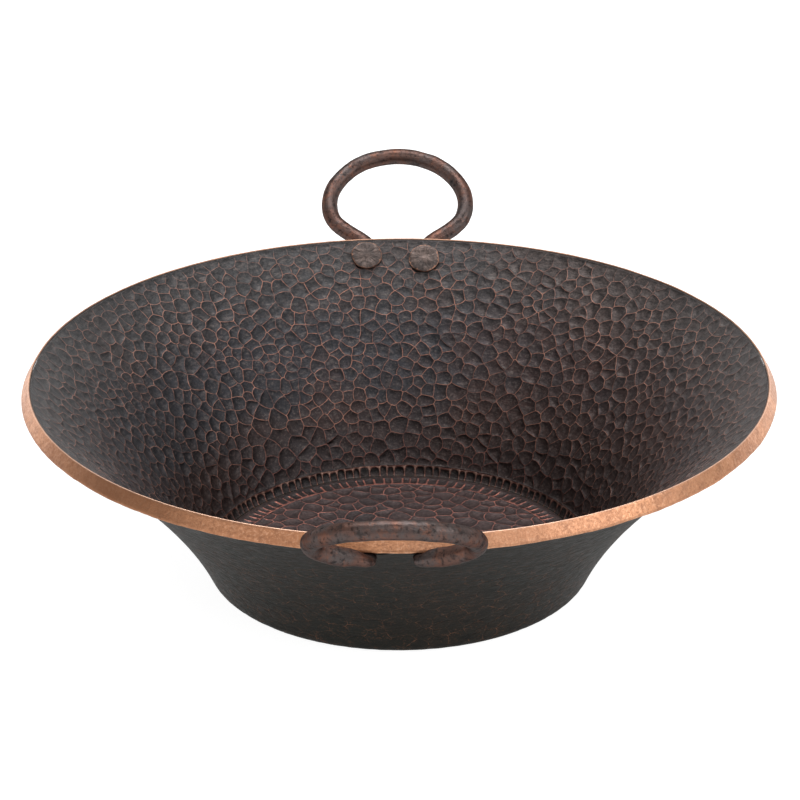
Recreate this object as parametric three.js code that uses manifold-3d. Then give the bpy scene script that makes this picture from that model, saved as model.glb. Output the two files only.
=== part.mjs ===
// A hammered copper pan with two riveted loop handles.
// Millimetres, +Z up. The origin is the centre of the resting face; the handles lie along +Y (rear) and -Y (front).
import * as THREE from "three";
import { mergeVertices } from "three/addons/utils/BufferGeometryUtils.js";
import Module from "manifold-3d";

const { degToRad } = THREE.MathUtils;

// ---- Driving dimensions ----
const RIM_RADIUS = 200; // where the wall meets the top of the rim band
const RIM_HEIGHT = 116;
const SHEET = 2; // thickness of the wall and the floor
const JOINT_GAP = 0.3; // room left for solder, and between parts that touch

const HEEL_FLAT_RADIUS = 101; // the resting ring ends here and the heel bend starts
const HEEL_BEND = 6;
const FOOT_ANGLE = degToRad(66); // slope of the wall just above the heel
const LIP_ANGLE = degToRad(40); // slope of the wall at the rim
const FLANGE_WIDTH = 14; // the part of the wall turned in under the floor

const BAND_WIDTH = 8.4;
const BAND_THICKNESS = 1.2;
const BAND_SLOPE = degToRad(60); // how steeply the band turns down

const ROD_RADIUS = 4.6;
const LEG_HALF_THICKNESS = 2.5; // the rod is forged thinner where it goes under the band
const LEG_HALF_WIDTH = 5.2;
const PADDLE_RADIUS = 7.2; // the flat end of the leg, which lies on the wall
const PADDLE_THICKNESS = 4;
const LOOP_TILT = degToRad(37.1); // slope of the loop's plane
const LOOP_CENTRE_OUT = 29.4; // the loop's widest line, outward of RIM_RADIUS
const LOOP_CENTRE_UP = 10.8; // and above RIM_HEIGHT
// Half of the loop's centre line, from its crown down to the leg: across, along the loop's plane from its
// widest line, and how far it is bowed out of that plane to clear the band.
const LOOP_POINTS = [
  [13, 32.6, 0],
  [25.2, 27.2, 0],
  [35, 17.6, 0],
  [40.2, 7.6, 0],
  [41.2, -2.4, 0.2],
  [38.8, -10.8, 0.9],
  [33.2, -16.6, 1.8],
  [26.8, -21, 2.5],
  [19.8, -26.3, 2.3],
  [15, -31.2, 2.7],
  [13.8, -34.6, 1.3],
];
const LOOP_CROWN = 34.4;

const RIVET_SHANK = 3;
const RIVET_HEAD = [9, 1.9]; // radius and thickness of the hammered head inside the pan
const RIVET_TAIL = [4.6, 1.6]; // and of the peened end on the paddle
// Each handle: its name, the way it faces, its sideways offset, how wide it is bent, and each rivet's name,
// place across and distance below the rim. The pan is made by hand, so no two rivets are set alike.
const HANDLES = [
  {
    name: "rear_handle",
    facing: 0,
    offset: -0.5,
    spread: 1,
    rivets: [
      ["rear_right_rivet", 15.4, 12.4],
      ["rear_left_rivet", -19.3, 10],
    ],
  },
  {
    name: "front_handle",
    facing: Math.PI,
    offset: 2.6,
    spread: 0.965,
    rivets: [
      ["front_left_rivet", 18, 10.4],
      ["front_right_rivet", -17, 10.9],
    ],
  },
];

const ROUND_FACETS = 72;
const WALL_STEPS = 12;
const BAR_STATIONS = 72;
const BAR_SIDES = 12;

// ---- Materials ----
const patina = new THREE.MeshStandardMaterial({ color: 0x2f2926, roughness: 0.55, metalness: 0.8 });
const bareCopper = new THREE.MeshStandardMaterial({ color: 0xc07a50, roughness: 0.4, metalness: 1 });
const brownRod = new THREE.MeshStandardMaterial({ color: 0x57392f, roughness: 0.5, metalness: 0.8 });

// ---- Solids ----
const wasm = await Module();
wasm.setup();

function toSolid(geometry) {
  const bare = geometry.index ? geometry.toNonIndexed() : geometry.clone();
  bare.deleteAttribute("normal");
  bare.deleteAttribute("uv");
  const merged = mergeVertices(bare, 1e-4);
  return new wasm.Manifold(
    new wasm.Mesh({
      numProp: 3,
      vertProperties: new Float32Array(merged.attributes.position.array),
      triVerts: new Uint32Array(merged.index.array),
    }),
  );
}

function toGeometry(solid) {
  const mesh = solid.getMesh();
  const geometry = new THREE.BufferGeometry();
  geometry.setAttribute("position", new THREE.BufferAttribute(mesh.vertProperties, 3));
  geometry.setIndex(new THREE.BufferAttribute(mesh.triVerts, 1));
  geometry.computeVertexNormals();
  return geometry;
}

function cutAway(solid, tools) {
  return tools.reduce((left, tool) => left.subtract(toSolid(tool)), solid);
}

// An outline of (radius, height) points, turned about Z. It runs from axis to axis or is closed into a ring.
function turned(outline, facets = ROUND_FACETS) {
  const points = outline[0].x > 0 ? [...outline, outline[0]] : [...outline];
  if (THREE.ShapeUtils.area(outline) < 0) points.reverse();
  return new THREE.LatheGeometry(points, facets).rotateX(Math.PI / 2);
}

// The points of a line in the (radius, height) plane, each moved sideways to its left by an offset.
function offsetPoints(curve, offset, steps) {
  return Array.from({ length: steps + 1 }, (_, i) => {
    const tangent = curve.getTangentAt(i / steps);
    return curve.getPointAt(i / steps).add(new THREE.Vector2(-tangent.y, tangent.x).multiplyScalar(offset));
  });
}

// ---- The wall's outer line ----
const polar = (angle, length) => new THREE.Vector2(Math.cos(angle), Math.sin(angle)).multiplyScalar(length);
const rimPoint = new THREE.Vector2(RIM_RADIUS, RIM_HEIGHT);
const bandDown = polar(-BAND_SLOPE, 1);
const bandOut = polar(Math.PI / 2 - BAND_SLOPE, 1);

const heelCentre = new THREE.Vector2(HEEL_FLAT_RADIUS, HEEL_BEND);
const wallFoot = heelCentre.clone().add(polar(FOOT_ANGLE - Math.PI / 2, HEEL_BEND));
// The wall ends against the inner face of the band, with its inner side level with the band's top.
const wallTop = rimPoint
  .clone()
  .addScaledVector(bandOut, -BAND_THICKNESS - JOINT_GAP)
  .addScaledVector(bandDown, SHEET / Math.sin(BAND_SLOPE + LIP_ANGLE));
// The control point is where the tangents at the foot and at the lip cross.
const rise = wallTop.clone().sub(wallFoot);
const footReach =
  (rise.x * Math.sin(LIP_ANGLE) - rise.y * Math.cos(LIP_ANGLE)) / Math.sin(LIP_ANGLE - FOOT_ANGLE);
const wallCurve = new THREE.QuadraticBezierCurve(
  wallFoot,
  wallFoot.clone().add(polar(FOOT_ANGLE, footReach)),
  wallTop,
);
const heelArc = new THREE.EllipseCurve(
  heelCentre.x, heelCentre.y, HEEL_BEND, HEEL_BEND, -Math.PI / 2, FOOT_ANGLE - Math.PI / 2,
);

function sideWall() {
  const flange = new THREE.LineCurve(
    new THREE.Vector2(HEEL_FLAT_RADIUS - FLANGE_WIDTH, 0),
    new THREE.Vector2(HEEL_FLAT_RADIUS, 0),
  );
  const skin = (offset) => [
    ...offsetPoints(flange, offset, 1),
    ...offsetPoints(heelArc, offset, 4).slice(1),
    ...offsetPoints(wallCurve, offset, WALL_STEPS).slice(1),
  ];
  const inner = skin(SHEET);
  // The lip is cut parallel to the band, so that the whole edge meets it.
  const lip = inner.length - 1;
  inner[lip] = wallTop.clone().addScaledVector(bandDown, -SHEET / Math.sin(BAND_SLOPE + LIP_ANGLE));
  return turned([...skin(0), ...inner.reverse()]);
}

function floorDisc() {
  const low = SHEET + JOINT_GAP;
  const high = low + SHEET;
  // The disc reaches the wall's inner side just above the heel bend.
  const edge = HEEL_FLAT_RADIUS + 0.8;
  return turned([
    new THREE.Vector2(0, low),
    new THREE.Vector2(edge, low),
    new THREE.Vector2(edge + 1.6, high),
    new THREE.Vector2(0, high),
  ]);
}

function rimBand() {
  const corner = (down, inward) =>
    rimPoint.clone().addScaledVector(bandDown, down).addScaledVector(bandOut, -inward);
  const edgeRound = BAND_THICKNESS / 4;
  return turned([
    corner(edgeRound, 0),
    corner(BAND_WIDTH - edgeRound, 0),
    corner(BAND_WIDTH, edgeRound),
    corner(BAND_WIDTH, BAND_THICKNESS - edgeRound),
    corner(BAND_WIDTH - edgeRound, BAND_THICKNESS),
    corner(0, BAND_THICKNESS),
    corner(0, edgeRound),
  ]);
}

// ---- Rivets and handles ----
// A frame on the wall's outer side: x runs across, y down the wall and z out of it.
function wallFrame(across, belowRim) {
  const at = 1 - belowRim / wallCurve.getLength();
  const point = wallCurve.getPointAt(at);
  const tangent = wallCurve.getTangentAt(at);
  const turn = across / point.x;
  const outward = new THREE.Vector3(Math.sin(turn), Math.cos(turn), 0);
  const down = outward.clone().multiplyScalar(-tangent.x).setZ(-tangent.y);
  const normal = outward.clone().multiplyScalar(tangent.y).setZ(-tangent.x);
  const frame = new THREE.Matrix4().makeBasis(new THREE.Vector3().crossVectors(down, normal), down, normal);
  return frame.setPosition(outward.multiplyScalar(point.x).setZ(point.y));
}

function rivet() {
  const [headRadius, headThickness] = RIVET_HEAD;
  const [tailRadius, tailThickness] = RIVET_TAIL;
  const inside = -SHEET - 1.5 * JOINT_GAP; // the wall curves towards the head's edge
  const outside = PADDLE_THICKNESS + 2 * JOINT_GAP;
  const outline = [
    [0, inside - headThickness],
    [headRadius * 0.8, inside - headThickness],
    [headRadius, inside - headThickness * 0.4],
    [headRadius, inside],
    [RIVET_SHANK, inside],
    [RIVET_SHANK, outside],
    [tailRadius, outside],
    [tailRadius * 0.9, outside + tailThickness * 0.6],
    [tailRadius * 0.5, outside + tailThickness],
    [0, outside + tailThickness],
  ];
  return turned(outline.map(([r, z]) => new THREE.Vector2(r, z)), 20);
}

function rivetHole() {
  const radius = RIVET_SHANK + JOINT_GAP;
  return new THREE.CylinderGeometry(radius, radius, 4 * PADDLE_THICKNESS, 20).rotateX(Math.PI / 2);
}

// The hole through a paddle, with the flat that the end of the rivet is peened down on.
function rivetSeat() {
  const hole = RIVET_SHANK + JOINT_GAP;
  const seat = RIVET_TAIL[0] + JOINT_GAP;
  const flat = JOINT_GAP + PADDLE_THICKNESS;
  const outline = [
    [0, -PADDLE_THICKNESS],
    [hole, -PADDLE_THICKNESS],
    [hole, flat],
    [seat, flat],
    [seat, flat + RIVET_TAIL[1] + 2 * JOINT_GAP],
    [0, flat + RIVET_TAIL[1] + 2 * JOINT_GAP],
  ];
  return turned(outline.map(([r, z]) => new THREE.Vector2(r, z)), 20);
}

// The handle's centre line, from one paddle round the loop to the other.
function handleCentreLine(feet, offset, spread) {
  const across = new THREE.Vector3(1, 0, 0);
  const along = new THREE.Vector3(0, Math.cos(LOOP_TILT), Math.sin(LOOP_TILT));
  const below = new THREE.Vector3(0, Math.sin(LOOP_TILT), -Math.cos(LOOP_TILT));
  const centre = new THREE.Vector3(offset, RIM_RADIUS + LOOP_CENTRE_OUT, RIM_HEIGHT + LOOP_CENTRE_UP);
  const lying = JOINT_GAP + PADDLE_THICKNESS / 2;
  const half = (side, frame) => [
    ...LOOP_POINTS.map(([u, v, bow]) =>
      centre
        .clone()
        .addScaledVector(across, side * u * spread)
        .addScaledVector(along, v)
        .addScaledVector(below, bow),
    ),
    new THREE.Vector3(-side * 1.6, -5.6, lying + 3.2).applyMatrix4(frame),
    new THREE.Vector3(-side * 0.4, -2, lying + 0.3).applyMatrix4(frame),
    new THREE.Vector3(0, 1.5, lying).applyMatrix4(frame),
    new THREE.Vector3(0, PADDLE_RADIUS, lying).applyMatrix4(frame),
  ];
  const crown = centre.clone().addScaledVector(along, LOOP_CROWN);
  return new THREE.CatmullRomCurve3(
    [...half(1, feet[0]).reverse(), crown, ...half(-1, feet[1])],
    false,
    "centripetal",
  );
}

// Half width and half thickness of the bar at a distance from its nearer end.
function barSection(distance) {
  const { smoothstep, lerp } = THREE.MathUtils;
  const intoLeg = smoothstep(distance, 8, 16);
  const intoRod = smoothstep(distance, 19, 36);
  const tip = 1 - Math.min(1, distance / PADDLE_RADIUS);
  const width = PADDLE_RADIUS * Math.sqrt(1 - 0.96 * tip ** 2);
  return {
    halfWidth: lerp(lerp(width, LEG_HALF_WIDTH, intoLeg), ROD_RADIUS, intoRod),
    halfThickness: lerp(lerp(PADDLE_THICKNESS / 2, LEG_HALF_THICKNESS, intoLeg), ROD_RADIUS, intoRod),
  };
}

// A closed bar swept along a curve. Its flat side starts and ends on the given normals, and the twist left
// over is spread along the whole bar.
function sweptBar(curve, startNormal, endNormal) {
  const length = curve.getLength();
  const frames = [];
  let before = curve.getTangentAt(0);
  const normal = startNormal.clone().projectOnPlane(before).normalize();
  for (let i = 0; i <= BAR_STATIONS; i++) {
    const tangent = curve.getTangentAt(i / BAR_STATIONS);
    normal.applyQuaternion(new THREE.Quaternion().setFromUnitVectors(before, tangent)).normalize();
    frames.push({ at: curve.getPointAt(i / BAR_STATIONS), tangent, normal: normal.clone() });
    before = tangent;
  }
  const last = frames[BAR_STATIONS];
  const twist = Math.atan2(last.tangent.dot(last.normal.clone().cross(endNormal)), last.normal.dot(endNormal));

  const positions = [];
  frames.forEach(({ at, tangent, normal: flat }, i) => {
    const share = i / BAR_STATIONS;
    const { halfWidth, halfThickness } = barSection(length * Math.min(share, 1 - share));
    const out = flat.clone().applyAxisAngle(tangent, twist * share);
    const side = new THREE.Vector3().crossVectors(out, tangent);
    for (let k = 0; k < BAR_SIDES; k++) {
      const angle = (2 * Math.PI * k) / BAR_SIDES;
      const p = at
        .clone()
        .addScaledVector(side, halfWidth * Math.cos(angle))
        .addScaledVector(out, halfThickness * Math.sin(angle));
      positions.push(p.x, p.y, p.z);
    }
  });

  const indices = [];
  for (let i = 0; i < BAR_STATIONS; i++) {
    for (let k = 0; k < BAR_SIDES; k++) {
      const a = i * BAR_SIDES + k;
      const b = i * BAR_SIDES + ((k + 1) % BAR_SIDES);
      indices.push(a, b, a + BAR_SIDES, b, b + BAR_SIDES, a + BAR_SIDES);
    }
  }
  const lastRing = BAR_STATIONS * BAR_SIDES;
  for (let k = 1; k < BAR_SIDES - 1; k++) {
    indices.push(0, k + 1, k);
    indices.push(lastRing, lastRing + k, lastRing + k + 1);
  }
  const geometry = new THREE.BufferGeometry();
  geometry.setAttribute("position", new THREE.Float32BufferAttribute(positions, 3));
  geometry.setIndex(indices);
  return geometry;
}

function handleBar(feet, offset, spread) {
  const outOf = (frame) => new THREE.Vector3().setFromMatrixColumn(frame, 2);
  const bar = sweptBar(handleCentreLine(feet, offset, spread), outOf(feet[0]), outOf(feet[1]));
  return toGeometry(cutAway(toSolid(bar), feet.map((frame) => rivetSeat().applyMatrix4(frame))));
}

// ---- Assembly ----
function part(name, geometry, material) {
  const mesh = new THREE.Mesh(geometry, material);
  mesh.name = name;
  return mesh;
}

const pan = new THREE.Group();
const wallHoles = [];
for (const { name, facing, offset, spread, rivets } of HANDLES) {
  const side = new THREE.Group();
  side.rotation.z = facing;
  const feet = rivets.map(([, across, belowRim]) => wallFrame(across, belowRim));
  side.add(part(name, handleBar(feet, offset, spread), brownRod));
  rivets.forEach(([rivetName], i) => {
    const mesh = part(rivetName, rivet(), patina);
    mesh.applyMatrix4(feet[i]);
    side.add(mesh);
    wallHoles.push(rivetHole().applyMatrix4(feet[i]).rotateZ(facing));
  });
  pan.add(side);
}
pan.add(part("side_wall", toGeometry(cutAway(toSolid(sideWall()), wallHoles)), patina));
pan.add(part("floor_disc", floorDisc(), patina));
pan.add(part("rim_band", rimBand(), bareCopper));

export default pan;
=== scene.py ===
"""A hammered copper bowl with two riveted loop handles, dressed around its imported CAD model."""

import math

import bmesh
import bpy
import numpy as np
from mathutils import Matrix, Vector, noise
from mathutils.geometry import delaunay_2d_cdt


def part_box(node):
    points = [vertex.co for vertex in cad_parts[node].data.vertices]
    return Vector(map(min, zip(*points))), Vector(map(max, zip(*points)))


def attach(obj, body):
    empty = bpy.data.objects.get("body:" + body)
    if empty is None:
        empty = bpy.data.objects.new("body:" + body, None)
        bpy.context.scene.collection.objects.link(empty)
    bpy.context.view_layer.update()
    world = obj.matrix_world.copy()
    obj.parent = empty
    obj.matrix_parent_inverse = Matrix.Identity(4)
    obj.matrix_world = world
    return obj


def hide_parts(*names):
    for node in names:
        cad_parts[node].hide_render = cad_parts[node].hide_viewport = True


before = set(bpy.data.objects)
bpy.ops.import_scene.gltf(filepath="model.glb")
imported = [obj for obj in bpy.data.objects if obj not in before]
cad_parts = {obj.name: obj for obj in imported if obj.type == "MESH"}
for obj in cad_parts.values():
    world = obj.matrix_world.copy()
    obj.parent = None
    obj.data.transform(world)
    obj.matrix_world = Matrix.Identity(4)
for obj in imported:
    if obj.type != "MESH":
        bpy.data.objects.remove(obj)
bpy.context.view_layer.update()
rng = np.random.default_rng(11)
MM = 0.001
TURN = 2 * math.pi

# ---- The wall's section, in millimetres, the same as the CAD's ----
SHEET = 2.0
HEEL_FLAT = 101.0  # the resting ring ends and the heel bend starts
HEEL_BEND = 6.0
FLANGE = 14.0
FOOT_ANGLE = math.radians(66)
LIP_ANGLE = math.radians(40)
RIM = np.array([200.0, 116.0])
BAND_WIDTH = 8.4
BAND_THICKNESS = 1.2
BAND_SLOPE = math.radians(60)
JOINT_GAP = 0.3
FLOOR_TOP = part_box("floor_disc")[1][2] / MM
FLOOR_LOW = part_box("floor_disc")[0][2] / MM
HEEL_STEPS = 24
WALL_STEPS = 160

band_down = np.array([math.cos(BAND_SLOPE), -math.sin(BAND_SLOPE)])
band_out = np.array([math.sin(BAND_SLOPE), math.cos(BAND_SLOPE)])


def section_line(offset):
    """Points (radius, height) up the wall from the resting ring, moved inwards by offset."""
    centre = np.array([HEEL_FLAT, HEEL_BEND])
    turn = np.linspace(-math.pi / 2, FOOT_ANGLE - math.pi / 2, HEEL_STEPS)[:, None]
    arc = centre + HEEL_BEND * np.hstack([np.cos(turn), np.sin(turn)])
    foot = arc[-1]
    under_band = RIM - band_out * (BAND_THICKNESS + JOINT_GAP)
    top = under_band + band_down * SHEET / math.sin(BAND_SLOPE + LIP_ANGLE)
    rise = top - foot
    off_lip_line = rise[0] * math.sin(LIP_ANGLE) - rise[1] * math.cos(LIP_ANGLE)
    reach = off_lip_line / math.sin(LIP_ANGLE - FOOT_ANGLE)
    bend = foot + reach * np.array([math.cos(FOOT_ANGLE), math.sin(FOOT_ANGLE)])
    t = np.linspace(0, 1, WALL_STEPS)[1:, None]
    wall = (1 - t) ** 2 * foot + 2 * t * (1 - t) * bend + t**2 * top
    points = np.vstack([arc, wall])
    tangents = np.gradient(points, axis=0)
    tangents /= np.linalg.norm(tangents, axis=1)[:, None]
    inward = np.stack([-tangents[:, 1], tangents[:, 0]], axis=1)
    return points + offset * inward


class Surface:
    """A surface of revolution with a conformal chart: (angle, height coordinate)."""

    def __init__(self, line, side):
        self.line = line
        steps = np.linalg.norm(np.diff(line, axis=0), axis=1)
        self.length = np.concatenate([[0], np.cumsum(steps)])
        middle = (line[1:, 0] + line[:-1, 0]) / 2
        self.chart = np.concatenate([[0], np.cumsum(steps / middle)])
        tangent = np.gradient(line, axis=0)
        tangent /= np.linalg.norm(tangent, axis=1)[:, None]
        # The way a dent goes: into the sheet.
        self.dent = side * np.stack([tangent[:, 1], -tangent[:, 0]], axis=1)

    def chart_at(self, length):
        return float(np.interp(length, self.length, self.chart))

    def radius(self, q):
        return float(np.interp(q, self.chart, self.line[:, 0]))

    def place(self, angle, q, depth):
        r = np.interp(q, self.chart, self.line[:, 0]) + depth * np.interp(q, self.chart, self.dent[:, 0])
        z = np.interp(q, self.chart, self.line[:, 1]) + depth * np.interp(q, self.chart, self.dent[:, 1])
        return (r * math.cos(angle), r * math.sin(angle), z)


RING_COUNT = 360  # points in a plain ring


class Skin:
    """Vertices and faces in millimetres, with a crest value per vertex and a tone per face.

    Crest is 1 on a ridge between hammer marks, 0 in a mark and below 0 where shade is painted in its
    hollow.
    Layer is the number of the material that new faces take.
    """

    def __init__(self):
        self.points = []
        self.crest = []
        self.faces = []
        self.tones = []
        self.layers = []
        self.layer = 0

    def vertex(self, point, crest=0.0):
        self.points.append(point)
        self.crest.append(crest)
        return len(self.points) - 1

    def face(self, corners, tone=0.5):
        self.faces.append(corners)
        self.tones.append(tone)
        self.layers.append(self.layer)

    def ring(self, radius, height):
        angles = np.arange(RING_COUNT) * TURN / RING_COUNT
        return [self.vertex((radius * math.cos(a), radius * math.sin(a), height)) for a in angles]

    def angle(self, i):
        x, y, _ = self.points[i]
        return math.atan2(y, x) % TURN

    def join(self, low, high):
        """Fills between two closed loops that go round the axis, whatever their counts."""
        low = sorted(low, key=self.angle)
        high = sorted(high, key=self.angle)
        a = [self.angle(i) for i in low] + [self.angle(low[0]) + TURN]
        b = [self.angle(i) for i in high] + [self.angle(high[0]) + TURN]
        i = j = 0
        while i < len(low) or j < len(high):
            p = low[i % len(low)]
            q = high[j % len(high)]
            if j == len(high) or (i < len(low) and a[i + 1] <= b[j + 1]):
                self.face((p, low[(i + 1) % len(low)], q))
                i += 1
            else:
                self.face((p, high[(j + 1) % len(high)], q))
                j += 1

    def build(self, name):
        mesh = bpy.data.meshes.new(name)
        mesh.from_pydata([Vector(p) * MM for p in self.points], [], self.faces)
        crest = mesh.attributes.new("crest", "FLOAT", "POINT")
        crest.data.foreach_set("value", np.array(self.crest, dtype=np.float32))
        tone = mesh.attributes.new("tone", "FLOAT", "FACE")
        tone.data.foreach_set("value", np.array(self.tones, dtype=np.float32))
        mesh.polygons.foreach_set("use_smooth", [True] * len(mesh.polygons))
        mesh.polygons.foreach_set("material_index", self.layers)
        bm = bmesh.new()
        bm.from_mesh(mesh)
        bmesh.ops.recalc_face_normals(bm, faces=bm.faces)
        bm.to_mesh(mesh)
        bm.free()
        piece = bpy.data.objects.new(name, mesh)
        bpy.context.scene.collection.objects.link(piece)
        return piece


# ---- Hammer marks: lengths in millimetres, the rest as shares ----
GAP_SPREAD = (0.62, 1.4)  # how the room each blow takes varies round the spacing
MOST_BULGE = 0.13  # how far a later blow's edge bows into an earlier one, to the edge's length
RIDGE_SINK = 0.12  # ridges lie up to this far below the sheet's face
PAINTED_SHADE_CREST = -0.4  # the crest value just inside a ridge, where the material paints shade
SHORT_EDGE, LONG_EDGE = 0.9, 4.5  # a shorter edge has no point between its corners, a longer one has two
CORNER_WIDTH = 1.4  # how much wider a ridge is at a corner
MOST_LEAN = 0.25  # how far a blow is tipped
WIDEST_RIDGE = 0.3
SHOULDER_SHAPE = 2.3  # the power in a dimple's slope just inside its ridge
BOWL_REACH, BOWL_LIMIT = 0.62, 0.8  # where a dimple's inner ring lies, to its outline and to its shoulder
BOWL_DEPTH, BOWL_LEAN = 0.67, 0.6
SNAP = 0.3  # the grid on which corners are merged
BORDER = 1.6  # corners this near a disc's edge move on to it
BORDER_STEPS = 2000


def scatter(tries, sample, distance, spacing):
    """Points thrown at random and kept where no kept one is too near."""
    kept = np.empty((tries, 2))
    gaps = np.empty(tries)
    count = 0
    for _ in range(tries):
        p = sample()
        gap = spacing(p) * rng.uniform(*GAP_SPREAD)
        near = distance(p, kept[:count])
        if np.any(near < 0.5 * (gap + gaps[:count])):
            continue
        kept[count] = p
        gaps[count] = gap
        count += 1
    return kept[:count].copy()


def voronoi_cells(seeds, ghosts):
    """The corners of each seed's Voronoi cell, in order round it."""
    points = np.vstack([seeds, ghosts])
    _, _, triangles, origin, _, _ = delaunay_2d_cdt([Vector(p) for p in points], [], [], 0, 1e-9)
    index = np.array([o[0] for o in origin])
    tri = index[np.array(triangles)]
    a, b, c = points[tri[:, 0]], points[tri[:, 1]], points[tri[:, 2]]
    ab, ac = b - a, c - a
    cross = 2 * (ab[:, 0] * ac[:, 1] - ab[:, 1] * ac[:, 0])
    least = 1e-14
    cross[np.abs(cross) < least] = least
    ab2 = (ab**2).sum(1)
    ac2 = (ac**2).sum(1)
    shift = np.stack([ac[:, 1] * ab2 - ab[:, 1] * ac2, ab[:, 0] * ac2 - ac[:, 0] * ab2], 1)
    centre = a + shift / cross[:, None]
    around = [[] for _ in points]
    for corners, middle in zip(tri, centre):
        for k in corners:
            around[k].append(middle)
    cells = []
    for k, seed in enumerate(seeds):
        corners = np.array(around[k])
        order = np.argsort(np.arctan2(corners[:, 1] - seed[1], corners[:, 0] - seed[0]))
        cells.append(corners[order])
    return cells


def hammer(skin, seeds, ghosts, snap, place, apart, scale_at, depth_of, ridge):
    """Adds one dimple per seed, and returns the loops of vertices along the borders.

    snap gives a corner's key and its merged place in the chart, place turns a chart point and a depth
    into a point in space, apart is the step between two chart points, and scale_at is the chart's scale.
    """
    shared = {}
    edge_loops = {"low": [], "high": []}
    outlines = []
    strikes = {}
    for number, corners in enumerate(voronoi_cells(seeds, ghosts)):
        snapped = [snap(c) for c in corners]
        outline = [s for i, s in enumerate(snapped) if s[0] != snapped[i - 1][0]]
        outlines.append(outline)
        for i, (key, _) in enumerate(outline):
            next_key = outline[(i + 1) % len(outline)][0]
            strikes.setdefault((min(key, next_key), max(key, next_key)), []).append(number)
    order = rng.permutation(len(seeds))
    bulges = {edge: rng.uniform(0.0, MOST_BULGE) for edge in strikes}

    def shared_vertex(key, point):
        if key not in shared:
            on_border = key[-1] in edge_loops
            sunk, crest = (0.0, 0.0) if on_border else (rng.uniform(0, RIDGE_SINK), 1.0)
            shared[key] = skin.vertex(place(point, sunk), crest)
            if on_border:
                edge_loops[key[-1]].append(shared[key])
        return shared[key]

    def bow(edge, start, end):
        """The later of the two strikes that meet at an edge bulges into the earlier one."""
        if len(strikes[edge]) < 2:
            return np.zeros(2)
        later = max(strikes[edge], key=lambda number: order[number])
        across = np.array([start[1] - end[1], end[0] - start[0]])
        if across @ apart((start + end) / 2, seeds[later]) < 0:
            across = -across
        return across * bulges[edge]

    for seed, outline in zip(seeds, outlines):
        if len(outline) < 3:
            continue
        scale = scale_at(seed)
        ring = []
        for i, (key, point) in enumerate(outline):
            next_key, next_point = outline[(i + 1) % len(outline)]
            ring.append((shared_vertex(key, point), point, CORNER_WIDTH))
            border = key[-1] if key[-1] == next_key[-1] and key[-1] in edge_loops else "inside"
            length = np.linalg.norm(next_point - point) * scale
            pieces = 1 if length < SHORT_EDGE else 2 if length < LONG_EDGE else 3
            forward = key < next_key
            edge = (key, next_key) if forward else (next_key, key)
            bend = bow(edge, point, next_point) if border == "inside" else np.zeros(2)
            for step in range(1, pieces):
                at = step / pieces
                mark = step if forward else pieces - step
                middle = point + (next_point - point) * at + bend * (4 * at * (1 - at))
                ring.append((shared_vertex((*edge, mark, border), middle), middle, 1.0))
        add_dimple(skin, ring, scale, place, depth_of, ridge)
    return edge_loops


def add_dimple(skin, ring, scale, place, depth_of, ridge):
    """A shallow bowl inside a ring of ridge vertices, tipped a little to one side."""
    outline = np.array([p for _, p, _ in ring])
    middle = outline.mean(0)
    reach = np.linalg.norm(outline - middle, axis=1) * scale
    size = reach.mean()
    depth = depth_of(middle, size)
    tone = rng.uniform()
    lean_way = rng.uniform(0, TURN)
    lean = np.array([math.cos(lean_way), math.sin(lean_way)]) * rng.uniform(0, MOST_LEAN)
    count = len(ring)
    shoulder = []
    bowl = []
    for (_, point, corner), far in zip(ring, reach):
        far = max(far, 0.1)
        slope = 1 + (point - middle) @ lean * scale / far
        near = 1 - min(ridge * corner / far, WIDEST_RIDGE)
        at = middle + (point - middle) * near
        shoulder.append(skin.vertex(place(at, depth * slope * (1 - near**SHOULDER_SHAPE)), PAINTED_SHADE_CREST))
        round_reach = min(BOWL_REACH * (0.5 + 0.5 * size / far), BOWL_LIMIT * near)
        at = middle + (point - middle) * round_reach
        bowl.append(skin.vertex(place(at, depth * (1 + BOWL_LEAN * (slope - 1)) * BOWL_DEPTH)))
    centre = skin.vertex(place(middle, depth))
    for i in range(count):
        j = (i + 1) % count
        skin.face((ring[i][0], ring[j][0], shoulder[j], shoulder[i]), tone)
        skin.face((shoulder[i], shoulder[j], bowl[j], bowl[i]), tone)
        skin.face((bowl[i], bowl[j], centre), tone)


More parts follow.
